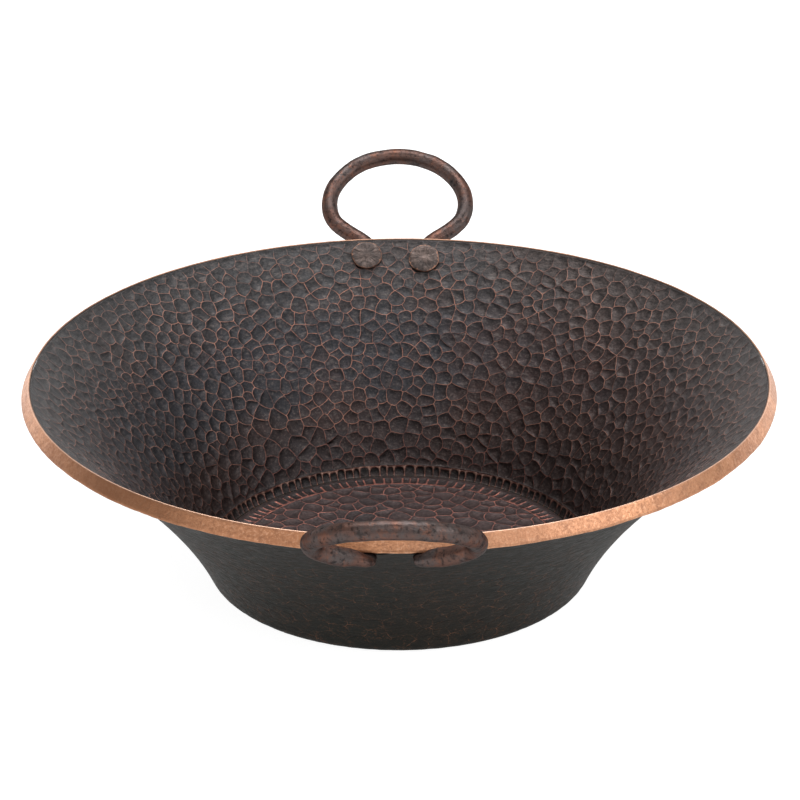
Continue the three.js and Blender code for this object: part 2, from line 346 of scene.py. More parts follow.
def hammer_band(skin, surface, start, end, spacing, depth_of, ridge, tries):
    """Dimples all round a surface of revolution, between two lengths along its line."""
    squeeze = 0.93  # below 1, dimples are wider than they are tall
    q0, q1 = surface.chart_at(start), surface.chart_at(end)
    widest = max(surface.radius(q0), surface.radius(q1))

    def sample():
        while True:
            p = np.array([rng.uniform(0, TURN), rng.uniform(q0, q1)])
            if rng.uniform() < (surface.radius(p[1]) / widest) ** 2:
                return p

    def distance(p, others):
        across = np.abs(others[:, 0] - p[0])
        across = np.minimum(across, TURN - across)
        return np.hypot(across * squeeze, (others[:, 1] - p[1]) / squeeze) * surface.radius(p[1])

    seeds = scatter(tries, sample, distance, spacing)
    margin = 0.35  # how far past an edge of the chart the seeds are repeated, in radians
    ghosts = []
    for p in seeds:
        mirrored = [p]
        if p[1] - q0 < margin:
            mirrored.append(np.array([p[0], 2 * q0 - p[1]]))
        if q1 - p[1] < margin:
            mirrored.append(np.array([p[0], 2 * q1 - p[1]]))
        for k, m in enumerate(mirrored):
            if k:
                ghosts.append(m)
            if m[0] < margin:
                ghosts.append(m + [TURN, 0])
            if m[0] > TURN - margin:
                ghosts.append(m - [TURN, 0])
    grid = SNAP / surface.radius((q0 + q1) / 2)
    around = round(TURN / grid)
    upward = round((q1 - q0) / grid)

    def snap(c):
        i = round(c[0] / TURN * around)
        j = round((c[1] - q0) / (q1 - q0) * upward)
        j = min(max(j, 0), upward)
        side = "low" if j == 0 else "high" if j == upward else "inside"
        return (i % around, j, side), np.array([i * TURN / around, q0 + (q1 - q0) * j / upward])

    def apart(p, other):
        step = p - other
        return np.array([(step[0] + math.pi) % TURN - math.pi, step[1]])

    def place(p, depth):
        return surface.place(p[0], p[1], depth)

    def scale_at(p):
        return surface.radius(p[1])

    return hammer(skin, seeds, np.array(ghosts), snap, place, apart, scale_at, depth_of, ridge)


def hammer_disc(skin, radius, height, down, spacing, depth_of, ridge, tries):
    """Dimples all over a disc. down is the way a dent goes: -1 on a top face, 1 underneath."""

    def sample():
        r = radius * math.sqrt(rng.uniform())
        a = rng.uniform(0, TURN)
        return np.array([r * math.cos(a), r * math.sin(a)])

    def distance(p, others):
        return np.linalg.norm(others - p, axis=1)

    seeds = scatter(tries, sample, distance, lambda p: spacing)
    lengths = np.linalg.norm(seeds, axis=1)
    mirrored_rows = 3.5
    outer = lengths > radius - mirrored_rows * spacing
    ghosts = seeds[outer] * ((2 * radius - lengths[outer]) / lengths[outer])[:, None]

    def snap(c):
        length = np.linalg.norm(c)
        if length > radius - BORDER:
            a = round(math.atan2(c[1], c[0]) / TURN * BORDER_STEPS)
            angle = a * TURN / BORDER_STEPS
            return (a % BORDER_STEPS, 0, "high"), radius * np.array([math.cos(angle), math.sin(angle)])
        i, j = round(c[0] / SNAP), round(c[1] / SNAP)
        return (i, j, "inside"), np.array([i * SNAP, j * SNAP])

    def place(p, depth):
        return (p[0], p[1], height + down * depth)

    def apart(p, other):
        return p - other

    return hammer(skin, seeds, ghosts, snap, place, apart, lambda p: 1.0, depth_of, ridge)


# ---- Punch marks ----
COLUMNS = (0.0, 0.07, 0.16, 0.36, 0.64, 0.84, 0.93)  # a mark's columns of vertices, as shares of its width
HIT_SPREAD = (0.55, 1.1)
MISSED_SHARE, MISSED_HIT = 0.06, 0.15  # a few marks are hardly struck
HEIGHT_SPREAD = (0.8, 1.0)
MARK_TONE = 0.3


def mark_edges(count, wander):
    """The angles at which a row of punch marks meet, unevenly spaced."""
    widths = 1 + rng.uniform(-wander, wander, count)
    return np.concatenate([[0], np.cumsum(widths)]) * TURN / widths.sum()


def punch_row(skin, count, wander, rows, place, depth_at, crest_at):
    """A row of punch marks round the axis: a grid whose columns gather at the marks' edges."""
    edges = mark_edges(count, wander)
    loops = [[] for _ in rows]
    hits = rng.uniform(*HIT_SPREAD, count)
    hits[rng.uniform(size=count) < MISSED_SHARE] = MISSED_HIT
    heights = rng.uniform(*HEIGHT_SPREAD, count)
    for k in range(count):
        for u in COLUMNS:
            angle = edges[k] + (edges[k + 1] - edges[k]) * u
            for loop, v in zip(loops, rows):
                depth = hits[k] * depth_at(u, v / heights[k])
                point = place(angle, v, depth)
                loop.append(skin.vertex(point, crest_at(u, v / heights[k])))
    total = len(loops[0])
    for low, high in zip(loops, loops[1:]):
        for i in range(total):
            j = (i + 1) % total
            skin.face((low[i], low[j], high[j], high[i]), MARK_TONE)
    return loops[0], loops[-1]


def smooth_step(x, low, high):
    t = min(max((x - low) / (high - low), 0.0), 1.0)
    return t * t * (3 - 2 * t)


# ---- Side wall ----
inner_surface = Surface(section_line(SHEET), 1)
outer_surface = Surface(section_line(0.0), -1)
marks_start = float(np.interp(FLOOR_TOP - 0.4, inner_surface.line[:, 1], inner_surface.length))
MARK_HEIGHT = 6.2
marks_end = marks_start + MARK_HEIGHT
WALL_MARKS = 131
WALL_ROWS = (0, 0.12, 0.35, 0.6, 0.78, 0.88, 0.95, 1.0)
inner_end = inner_surface.length[-1]
outer_end = outer_surface.length[-1]


def inner_spacing(p):
    spot = Vector((math.cos(p[0]) * 2.6, math.sin(p[0]) * 2.6, p[1] * 4))
    return 6.8 + 1.6 * noise.noise(spot)


def inner_depth(p, size):
    """The depth of a round-faced hammer's mark, less near the rim, where the metal was planished."""
    length = float(np.interp(p[1], inner_surface.chart, inner_surface.length))
    fade = 1 - 0.4 * smooth_step(length, inner_end - 30, inner_end - 4)
    return fade * min(size**2 / (2 * rng.uniform(7.5, 17)), 1.2)


def outer_spacing(p):
    return 7.4


def outer_depth(p, size):
    """The outside and the underside are all but smooth."""
    return rng.uniform(0.02, 0.06)


def wall_mark_depth(u, v):
    arch = abs(2 * u - 1) ** 3.5 + max(v, 0.0) ** 5
    return (0.5 + 0.8 * v) * (1 - smooth_step(arch, 0.3, 0.85)) * smooth_step(v, -0.02, 0.1)


def wall_mark_crest(u, v):
    arch = abs(2 * u - 1) ** 3.5 + max(v, 0.0) ** 5
    ridge = smooth_step(arch, 0.5, 0.8) * (1 - smooth_step(v, 1.04, 1.15))
    # Painted shade: the upper hollow of each mark, where its steep top face lies in shade, gets a crest
    # below 0 and so is darkened.
    painted_shade = smooth_step(v, 0.2, 0.8) * (1 - smooth_step(arch, 0.3, 0.6))
    return 1.9 * ridge - 0.9 * painted_shade - 0.3


wall = Skin()
inner_loops = hammer_band(
    wall, inner_surface, marks_end, inner_end, inner_spacing, inner_depth, ridge=0.5, tries=60000
)
wall.layer = 1
outer_loops = hammer_band(
    wall, outer_surface, 1.0, outer_end, outer_spacing, outer_depth, ridge=0.4, tries=16000
)
wall.layer = 0


def wall_mark_place(angle, v, depth):
    q = inner_surface.chart_at(marks_start + v * MARK_HEIGHT)
    return inner_surface.place(angle, q, depth)


mark_low, mark_high = punch_row(
    wall, WALL_MARKS, 0.3, WALL_ROWS, wall_mark_place, wall_mark_depth, wall_mark_crest
)
wall.join(mark_high, inner_loops["low"])
# The sheet's edge is dressed up against the band, so that no dark slit shows between them.
EDGE_DROP, EDGE_GAP = 0.15, 0.1  # where the sheet's edge lies, below the rim and inside the band
edge_radius, edge_height = RIM + band_down * EDGE_DROP - band_out * (BAND_THICKNESS + EDGE_GAP)
sheet_edge = wall.ring(edge_radius, edge_height)
wall.join(inner_loops["high"], sheet_edge)
wall.layer = 1
wall.join(sheet_edge, outer_loops["high"])
FLANGE_END = HEEL_FLAT - FLANGE
below = [(HEEL_FLAT, 0.0), (FLANGE_END, 0.0), (FLANGE_END, SHEET), (HEEL_FLAT, SHEET)]
previous = outer_loops["low"]
for radius, height in below:
    ring = wall.ring(radius, height)
    wall.join(previous, ring)
    previous = ring
wall.join(previous, mark_low)
side_wall = wall.build("wall_sheet")

# ---- Floor ----
floor = Skin()
CELL_RADIUS = 91.6  # hammer marks inside this, punch marks from here to MARK_RADIUS
MARK_RADIUS = 100.2
FLOOR_MARKS = 118
FLOOR_ROWS = (0, 0.1, 0.3, 0.5, 0.7, 0.85, 0.94, 1.0)


def floor_depth(p, size):
    return min(size**2 / (2 * rng.uniform(14, 28)), 0.9)


def floor_mark_place(angle, v, depth):
    r = MARK_RADIUS + (CELL_RADIUS - MARK_RADIUS) * v
    return (r * math.cos(angle), r * math.sin(angle), FLOOR_TOP - depth)


def floor_mark_depth(u, v):
    arch = abs(2 * u - 1) ** 4 + abs(2 * v - 1) ** 4
    return (0.4 + 0.5 * v) * (1 - smooth_step(arch, 0.3, 0.85))


def floor_mark_crest(u, v):
    side = smooth_step(abs(2 * u - 1), 0.72, 0.86) * smooth_step(v, 0.0, 0.12)
    end = smooth_step(v, 0.86, 0.95)
    # Below 0 inside the mark, where the material paints shade in the heel's crease; the raised sides and
    # end are worn copper.
    return 1.3 * max(side, end) - 0.5


top_loops = hammer_disc(floor, CELL_RADIUS, FLOOR_TOP, -1, 8.3, floor_depth, ridge=0.65, tries=14000)
floor.layer = 1
low_loops = hammer_disc(floor, CELL_RADIUS, FLOOR_LOW, 1, 9.0, outer_depth, ridge=0.4, tries=8000)
floor.layer = 0
outer_marks, inner_marks = punch_row(
    floor, FLOOR_MARKS, 0.25, FLOOR_ROWS, floor_mark_place, floor_mark_depth, floor_mark_crest
)
floor.join(inner_marks, top_loops["high"])
edge_profile = [
    (100.8, FLOOR_TOP),
    (101.8, FLOOR_TOP - 0.05),
    (102.8, FLOOR_TOP - 0.2),
    (103.5, FLOOR_TOP - 0.5),
    (103.9, FLOOR_TOP - 1.0),
    (102.4, FLOOR_LOW + 0.2),
    (101.6, FLOOR_LOW),
]
previous = outer_marks
for radius, height in edge_profile:
    ring = floor.ring(radius, height)
    floor.join(previous, ring)
    previous = ring
floor.join(previous, low_loops["high"])
floor_disc = floor.build("floor_sheet")

# ---- Rim band ----
band = Skin()
BAND_COLUMNS = 720
# Distance down the band, distance in from its outer face, and crest: dark inside, and on the top
# corner bare copper rubbed bright under a painted highlight.
band_profile = [
    (0.35, 0.0, 0.3), (1.6, -0.04, 0.0), (3.2, 0.0, 0.0), (5.0, 0.02, 0.0), (6.8, 0.0, 0.0),
    (8.0, 0.02, 0.0), (8.35, 0.3, 0.3), (8.35, 0.9, -0.5), (8.0, 1.2, -1.0), (4.0, 1.2, -1.0),
    (0.3, 1.2, -1.0), (-0.05, 0.95, -0.7), (-0.1, 0.45, -0.25), (0.05, 0.1, 1.0),
]
BROAD_WAVES, FINE_WAVES = 9, 42  # the scale of the noise round the band
rings = []
for down, inward, crest in band_profile:
    ring = []
    for k in range(BAND_COLUMNS):
        a = k * TURN / BAND_COLUMNS
        around = Vector((math.cos(a), math.sin(a), 0))
        wave = noise.noise(around * BROAD_WAVES + Vector((0, 0, 3)))
        ripple = noise.noise(around * FINE_WAVES + Vector((0, 0, down * 0.12)))
        lower = smooth_step(down, 5, 8)
        d = down + lower * (0.35 * wave + 0.2 * ripple)
        i = inward + 0.09 * ripple + 0.12 * wave * (1 if inward < 0.6 else 0)
        r, z = RIM + band_down * d - band_out * i
        ring.append(band.vertex((r * around.x, r * around.y, z), crest))
    rings.append(ring)
for ring, after in zip(rings, rings[1:] + rings[:1]):
    for k in range(BAND_COLUMNS):
        j = (k + 1) % BAND_COLUMNS
        band.face((ring[k], ring[j], after[j], after[k]))
rim_band = band.build("rim_hoop")


# ---- Rivets ----
def rivet_axis(node):
    """The top of a CAD rivet's head, the way the head points, and the rivet's length."""
    points = np.array([v.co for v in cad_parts[node].data.vertices])
    centre = points.mean(0)
    values, vectors = np.linalg.eigh(np.cov((points - centre).T))
    odd = 0 if abs(values[1] - values[0]) > abs(values[2] - values[1]) else 2
    axis = vectors[:, odd]
    along = (points - centre) @ axis
    away = np.linalg.norm((points - centre) - np.outer(along, axis), axis=1)
    if along[np.argmax(away)] < 0:
        axis, along = -axis, -along
    return Vector(centre + axis * along.max()), Vector(axis), along.max() - along.min()


RIVET_COLUMNS = 96
FACE_LOW = -0.6  # the head's struck face lies above this, from its top


def rivet_profile(length):
    """Radius, height from the head's top, and crest: the head, the shank, then the peened end."""
    head = [
        (0.0, 0.0, 0.0), (1.6, 0.0, 0.0), (3.2, 0.0, 0.0), (4.8, -0.02, 0.0), (6.3, -0.06, 0.0),
        (7.5, -0.14, 0.1), (8.3, -0.28, 0.45), (8.75, -0.5, 1.0), (8.95, -0.85, 1.0), (9.0, -1.3, 0.6),
        (8.8, -1.75, 0.2), (8.2, -2.0, 0.0), (3.05, -2.0, 0.0),
    ]
    peened = [
        (3.0, 1.7, 0.0), (4.5, 1.6, 0.0), (4.3, 0.8, 0.4), (3.2, 0.25, 0.2), (1.6, 0.05, 0.0),
        (0.0, 0.0, 0.0),
    ]
    return head + [(radius, height - length, crest) for radius, height, crest in peened]


def rivet_piece(node, seed):
    """A hammered flat head inside the pan, a shank, and a peened end on the handle's foot."""
    top, axis, length = rivet_axis(node)
    skin = Skin()
    facets = 5 + seed % 3
    loops = []
    for radius, height, crest in rivet_profile(length / MM):
        if radius == 0:
            loops.append([skin.vertex((0, 0, height), crest)])
            continue
        loop = []
        for k in range(RIVET_COLUMNS):
            a = k * TURN / RIVET_COLUMNS
            spot = Vector((math.cos(a), math.sin(a), seed * 5.0))
            big = noise.noise(spot * 1.4)
            flat = math.cos(a * facets + seed) * 0.5 + noise.noise(spot * 3.1)
            r = radius * (1 + smooth_step(radius, 4.6, 8) * (0.035 * big + 0.018 * flat))
            x, y = math.cos(a) * radius, math.sin(a) * radius
            dent = noise.noise(Vector((x * 0.22, y * 0.22, seed * 3.0)))
            spokes = noise.noise(Vector((math.cos(a) * 8, math.sin(a) * 8, seed + radius * 0.3)))
            face = 1 if height > FACE_LOW else 0
            h = height + face * (0.4 * dent + 0.16 * spokes * smooth_step(radius, 1, 5) - 0.2)
            streak = face * (0.9 * spokes - 0.25) * smooth_step(radius, 0.5, 3)
            loop.append(skin.vertex((r * math.cos(a), r * math.sin(a), h), max(crest, 0.0) + streak))
        loops.append(loop)
    for low, high in zip(loops, loops[1:]):
        for k in range(RIVET_COLUMNS):
            j = (k + 1) % RIVET_COLUMNS
            if len(low) == 1:
                skin.face((low[0], high[k], high[j]))
            elif len(high) == 1:
                skin.face((low[k], low[j], high[0]))
            else:
                skin.face((low[k], low[j], high[j], high[k]))
    piece = skin.build(node + "_copper")
    turn = axis.to_track_quat("Z", "Y").to_matrix().to_4x4()
    piece.data.transform(Matrix.Translation(top) @ turn)
    return piece


RIVETS = ("rear_left_rivet", "rear_right_rivet", "front_left_rivet", "front_right_rivet")
rivets = {node: rivet_piece(node, k + 1) for k, node in enumerate(RIVETS)}


# ---- Handles ----
VOXEL = 0.6  # in millimetres, as are the three sizes below
MELT_PASSES = 14
MELTED = 0.35  # what the smoothing takes off a bar
BROAD_DENT, FINE_DENT = 0.2, 0.08


def bake_modifiers(piece):
    graph = bpy.context.evaluated_depsgraph_get()
    done = bpy.data.meshes.new_from_object(piece.evaluated_get(graph))
    done.materials.clear()
    piece.modifiers.clear()
    piece.data = done


def handle_piece(node, seed):
    """The forged loop: the CAD bar with its facets melted away and small hammer flats put on."""
    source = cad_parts[node]
    piece = bpy.data.objects.new(node + "_forging", source.data.copy())
    bpy.context.scene.collection.objects.link(piece)
    remesh = piece.modifiers.new("remesh", "REMESH")
    remesh.mode = "VOXEL"
    remesh.voxel_size = VOXEL * MM
    melt = piece.modifiers.new("melt", "SMOOTH")
    melt.factor = 0.5
    melt.iterations = MELT_PASSES
    bake_modifiers(piece)
    mesh = piece.data
    moved = []
    for v in mesh.vertices:
        p = v.co * (1 / MM)
        broad = noise.noise(p * 0.11 + Vector((seed, 0, 0))) * BROAD_DENT
        dents = broad + noise.noise(p * 0.3) * FINE_DENT
        moved.append(v.co + v.normal * (MELTED + dents) * MM)
    for v, co in zip(mesh.vertices, moved):
        v.co = co
    mesh.polygons.foreach_set("use_smooth", [True] * len(mesh.polygons))
    mesh.update()
    return piece


HANDLES = ("rear_handle", "front_handle")
handles = {node: handle_piece(node, k * 7.0) for k, node in enumerate(HANDLES)}


# ---- Materials ----
class Nodes:
    """Short calls for building one material's node tree."""

    def __init__(self, name):
        self.material = bpy.data.materials.new(name)
        self.material.use_nodes = True
        self.tree = self.material.node_tree
        self.shader = self.tree.nodes["Principled BSDF"]

    def node(self, kind, inputs=None, **settings):
        made = self.tree.nodes.new(kind)
        for key, value in settings.items():
            setattr(made, key, value)
        for key, value in (inputs or {}).items():
            self.feed(made.inputs[key], value)
        return made

    def feed(self, socket, value):
        if isinstance(value, bpy.types.NodeSocket):
            self.tree.links.new(value, socket)
        else:
            socket.default_value = value

    def attribute(self, name):
        return self.node("ShaderNodeAttribute", attribute_name=name).outputs["Fac"]

    def place(self):
        return self.node("ShaderNodeTexCoord").outputs["Object"]

    def place_parts(self):
        parts = self.node("ShaderNodeSeparateXYZ", {"Vector": self.place()}).outputs
        return parts["X"], parts["Y"], parts["Z"]

    def away_from(self, spot):
        away = self.node("ShaderNodeVectorMath", {0: self.place(), 1: spot}, operation="DISTANCE")
        return away.outputs["Value"]

    def round_place(self, around, upward):
        """Coordinates that run round the axis, so that noise on them makes strokes along the rim."""
        x, y, z = self.place_parts()
        squared = self.math("ADD", self.math("MULTIPLY", x, x), self.math("MULTIPLY", y, y))
        least_radius = 0.002
        radius = self.math("MAXIMUM", self.math("POWER", squared, 0.5), least_radius)
        across = self.math("MULTIPLY", self.math("DIVIDE", x, radius), around)
        along = self.math("MULTIPLY", self.math("DIVIDE", y, radius), around)
        rise = self.math("MULTIPLY", self.math("ADD", z, self.math("MULTIPLY", radius, 0.5)), upward)
        return self.node("ShaderNodeCombineXYZ", {"X": across, "Y": along, "Z": rise}).outputs[0]

    def noise(self, scale, detail=3.0, rough=0.55, vector=None):
        inputs = {"Vector": vector or self.place(), "Scale": scale, "Detail": detail, "Roughness": rough}
        return self.node("ShaderNodeTexNoise", inputs).outputs["Fac"]

    def math(self, operation, a, b=0.0, clamp=False):
        made = self.node("ShaderNodeMath", operation=operation, use_clamp=clamp)
        self.feed(made.inputs[0], a)
        self.feed(made.inputs[1], b)
        return made.outputs[0]

    def span(self, value, low, high, to_low=0.0, to_high=1.0):
        return self.node(
            "ShaderNodeMapRange",
            {"Value": value, "From Min": low, "From Max": high, "To Min": to_low, "To Max": to_high},
            interpolation_type="SMOOTHSTEP",
        ).outputs[0]

    def mix(self, factor, a, b):
        made = self.node("ShaderNodeMix", data_type="RGBA")
        self.feed(made.inputs["Factor"], factor)
        self.feed(made.inputs[6], a)
        self.feed(made.inputs[7], b)
        return made.outputs[2]

    def cover(self, under, over, value, low, high, most):
        """One colour over another: none of it where value is low, and the share most where it is high."""
        return self.mix(self.span(value, low, high, 0.0, most), under, over)

    def jitter(self, value, noise, amount):
        """A value moved up and down by a noise whose middle is 0.5."""
        return self.math("ADD", value, self.math("MULTIPLY", self.math("SUBTRACT", noise, 0.5), amount))

    def bump(self, height, strength, distance, normal=None):
        inputs = {"Height": height, "Strength": strength, "Distance": distance}
        made = self.node("ShaderNodeBump", inputs)
        if normal:
            self.feed(made.inputs["Normal"], normal)
        return made.outputs[0]

    def finish(self, colour, roughness, metallic, normal):
        self.feed(self.shader.inputs["Base Color"], colour)
        self.feed(self.shader.inputs["Roughness"], roughness)
        self.feed(self.shader.inputs["Metallic"], metallic)
        self.feed(self.shader.inputs["Normal"], normal)
        return self.material


def rgb(r, g, b):
    return (r, g, b, 1.0)


def grey(value):
    return rgb(value, value, value)


# The inside. Colours are in linear light, and heights and distances in materials in metres.
CHARCOAL = rgb(0.0235, 0.0235, 0.0285)
WALL_BROWN = rgb(0.044, 0.0225, 0.0195)
FLOOR_BROWN = rgb(0.11, 0.066, 0.063)
PAINTED_RIM_SHEEN = rgb(0.062, 0.06, 0.058)
HEEL_PAINTED_SHADE = rgb(0.009, 0.006, 0.006)
SPOT_SOOT = rgb(0.010, 0.0095, 0.0105)
PALE_FLECK = rgb(0.10, 0.075, 0.068)
DARK_FLECK = rgb(0.008, 0.008, 0.009)
PALE_STROKE = rgb(0.12, 0.1, 0.092)
WALL_LINES = rgb(0.16, 0.066, 0.054), rgb(0.29, 0.14, 0.1)  # dull, bright
FLOOR_LINES = rgb(0.34, 0.135, 0.11), rgb(0.46, 0.19, 0.145)
FLANK_LINE_AND_SHEEN = rgb(0.5, 0.27, 0.21)
PUNCH_LINE = rgb(0.3, 0.19, 0.15)
# The outside
OUTSIDE = rgb(0.0105, 0.0105, 0.0085), rgb(0.013, 0.0105, 0.008)
OUTSIDE_STROKE = rgb(0.032, 0.028, 0.023)
RUSTY_DUST = rgb(0.085, 0.04, 0.022)
OUTSIDE_LINE = rgb(0.2, 0.085, 0.045)
# The band
BARE_COPPER = rgb(0.53, 0.25, 0.125), rgb(0.38, 0.165, 0.077)
BAND_BLOT = rgb(0.22, 0.095, 0.048)
BAND_SPECK = rgb(0.2, 0.085, 0.046)
BAND_GLINT = rgb(0.68, 0.4, 0.26)
PINK_COPPER = rgb(0.5, 0.28, 0.19)
BROWN_COPPER = rgb(0.22, 0.09, 0.04)
RUBBED_AND_HIGHLIGHT_CORNER = rgb(0.8, 0.55, 0.42)
BAND_INSIDE = rgb(0.13, 0.095, 0.082)
BAND_STAIN = (-0.15, -0.135, 0.11)  # the middle of a browner stretch
# The handles
ROD = rgb(0.082, 0.067, 0.064), rgb(0.11, 0.062, 0.05)
ROD_RUST = rgb(0.18, 0.076, 0.048)
ROD_SPECK = rgb(0.016, 0.014, 0.014)
ROD_SCALE = rgb(0.02, 0.018, 0.018)
# The rivets
RIVET = rgb(0.05, 0.039, 0.036), rgb(0.105, 0.076, 0.066)
RIVET_SPECK = rgb(0.03, 0.024, 0.022)
RIVET_RIDGE = rgb(0.34, 0.17, 0.11)
RIVET_HOLLOW = rgb(0.014, 0.011, 0.010)


def patina(n, brown, browning, height, across, clouds, tone):
    """Charcoal to brown, darker towards the heel as painted shade, and paler towards the rim as a painted
    sheen.

    browning is (low, high): brown below low and charcoal above high. It is also browner towards +X.
    """
    lower = n.span(height, *browning, 0.8, 0.0)
    brownness = n.math("ADD", lower, n.span(clouds, 0.4, 0.65, -0.3, 0.35))
    brownness = n.math("ADD", brownness, n.span(across, -0.02, 0.1))
    brownness = n.math("ADD", brownness, n.span(tone, 0.0, 1.0, -0.15, 0.15), clamp=True)
    dark = n.mix(brownness, CHARCOAL, brown)
    # Painted shade: darker towards the heel and over the floor.
    dark = n.cover(dark, HEEL_PAINTED_SHADE, height, 0.07, 0.012, 0.5)
    # Painted sheen: paler towards the rim.
    return n.cover(dark, PAINTED_RIM_SHEEN, height, 0.07, 0.108, 0.5)


def hammered_material(name, brown, browning, lines, line_heights):
    """Dark patina rubbed through to copper along the ridges.

    lines are a dull and a bright colour. A line is brighter where it is more worn, brighter again
    with painted light on both flanks, and is dull below the first of line_heights.
    """
    n = Nodes(name)
    crest = n.attribute("crest")
    tone = n.attribute("tone")
    clouds = n.noise(16, 4)
    patches = n.noise(62, 5, 0.65)
    spots = n.noise(240, 4, 0.65)
    flecks = n.noise(720, 3, 0.7)
    strokes = n.noise(1.0, 5, 0.7, n.round_place(34, 400))
    across, _, height = n.place_parts()

    dark = patina(n, brown, browning, height, across, clouds, tone)
    dark = n.cover(dark, SPOT_SOOT, spots, 0.4, 0.7, 0.45)
    # Painted shade: near black where crest is below 0, in the dimples' shoulders and the punch marks'
    # hollows.
    dark = n.cover(dark, grey(0.004), crest, 0.1, -1.1, 0.9)
    dark = n.cover(dark, PALE_FLECK, flecks, 0.5, 0.72, 0.6)
    dark = n.cover(dark, DARK_FLECK, flecks, 0.5, 0.3, 0.6)
    brushed = n.span(height, 0.02, 0.09, 0.5, 1.0)
    pale_strokes = n.math("MULTIPLY", n.span(strokes, 0.52, 0.68, 0.0, 0.55), brushed)
    dark_strokes = n.math("MULTIPLY", n.span(strokes, 0.5, 0.34, 0.0, 0.6), brushed)
    dark = n.mix(pale_strokes, dark, PALE_STROKE)
    dark = n.mix(dark_strokes, dark, grey(0.007))

    worn = n.math("MULTIPLY", n.span(patches, 0.36, 0.6, 0.34, 1.0), n.span(spots, 0.32, 0.6, 0.5, 1.0))
    line_colour = n.mix(n.math("MULTIPLY", worn, n.span(height, *line_heights)), *lines)
    # The ridge lines are worn copper; their extra brightness on both flanks, left and right alike, is
    # painted light.
    line_colour = n.cover(line_colour, FLANK_LINE_AND_SHEEN, n.math("ABSOLUTE", across), 0.07, 0.15, 0.5)
    line_colour = n.cover(line_colour, PUNCH_LINE, crest, 1.1, 1.5, 0.8)
    ragged = n.jitter(n.jitter(crest, spots, 0.7), flecks, 0.9)
    line = n.math("MULTIPLY", n.span(ragged, 0.3, 0.95), n.span(worn, 0.1, 0.75, 0.3, 1.0))
    line = n.math("MULTIPLY", line, n.span(height, 0.1, 0.113, 1.0, 0.55), clamp=True)

    colour = n.mix(line, dark, line_colour)
    rough = n.math("ADD", n.span(flecks, 0.2, 0.8, 0.34, 0.5), n.math("MULTIPLY", tone, 0.1))
    normal = n.bump(flecks, 0.5, 0.0006)
    normal = n.bump(strokes, 0.4, 0.0006, normal)
    return n.finish(colour, rough, n.span(line, 0.0, 1.0, 0.7, 1.0), normal)


LEG_SHADOW_SHARE = 0.55  # of the way across to the leg's rivet
LEG_SHADOW_BELOW_RIM = 23.5  # down the wall, in millimetres


def painted_leg_shadow_centre(node):
    """The place of a painted black shadow on the wall beside a handle's leg, inwards of its rivet and a
    little lower.
    """
    low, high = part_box(node)
    across = LEG_SHADOW_SHARE * (low[0] + high[0]) / 2
    length = outer_end - LEG_SHADOW_BELOW_RIM
    radius = np.interp(length, outer_surface.length, outer_surface.line[:, 0]) * MM
    height = np.interp(length, outer_surface.length, outer_surface.line[:, 1]) * MM
    return (across, math.copysign(math.sqrt(radius**2 - across**2), low[1] + high[1]), height)


def outer_material(name):
    """The outside: a smooth greenish charcoal, brushed round the axis, with a few worn scratches."""
    n = Nodes(name)
    crest = n.attribute("crest")
    clouds = n.noise(22, 4)
    patches = n.noise(110, 6, 0.75)
    spots = n.noise(380, 4, 0.7)
    dust = n.noise(760, 3, 0.7)
    strokes = n.noise(1.0, 5, 0.65, n.round_place(26, 620))
    long_strokes = n.noise(1.0, 3, 0.6, n.round_place(9, 300))
    height = n.place_parts()[2]

    colour = n.mix(n.span(clouds, 0.38, 0.62), *OUTSIDE)
    colour = n.cover(colour, OUTSIDE_STROKE, strokes, 0.5, 0.7, 0.6)
    colour = n.cover(colour, grey(0.004), long_strokes, 0.5, 0.7, 0.6)
    rusty = n.math("MULTIPLY", n.span(patches, 0.42, 0.62), n.span(height, 0.05, 0.1, 1.0, 0.25))
    dusty = n.math("MULTIPLY", rusty, n.span(dust, 0.5, 0.7, 0.0, 0.8))
    colour = n.mix(dusty, colour, RUSTY_DUST)
    ragged = n.jitter(crest, spots, 1.2)
    line = n.math("MULTIPLY", n.span(ragged, 0.45, 1.1), n.math("MULTIPLY", rusty, 0.9), clamp=True)
    colour = n.mix(line, colour, OUTSIDE_LINE)
    rough = n.span(strokes, 0.3, 0.7, 0.42, 0.6)
    # Painted shadow: a black spot beside each handle leg's foot, where the leg and band shade the wall.
    for node in RIVETS:
        leg_shadow = n.span(n.away_from(painted_leg_shadow_centre(node)), 0.0035, 0.0065, 1.0, 0.0)
        colour = n.mix(leg_shadow, colour, grey(0.0005))
        rough = n.math("MAXIMUM", rough, leg_shadow)
    n.shader.inputs["Specular IOR Level"].default_value = 0.2
    n.shader.inputs["Specular Tint"].default_value = grey(0.5)
    return n.finish(colour, rough, 0.6, n.bump(strokes, 0.3, 0.0006))


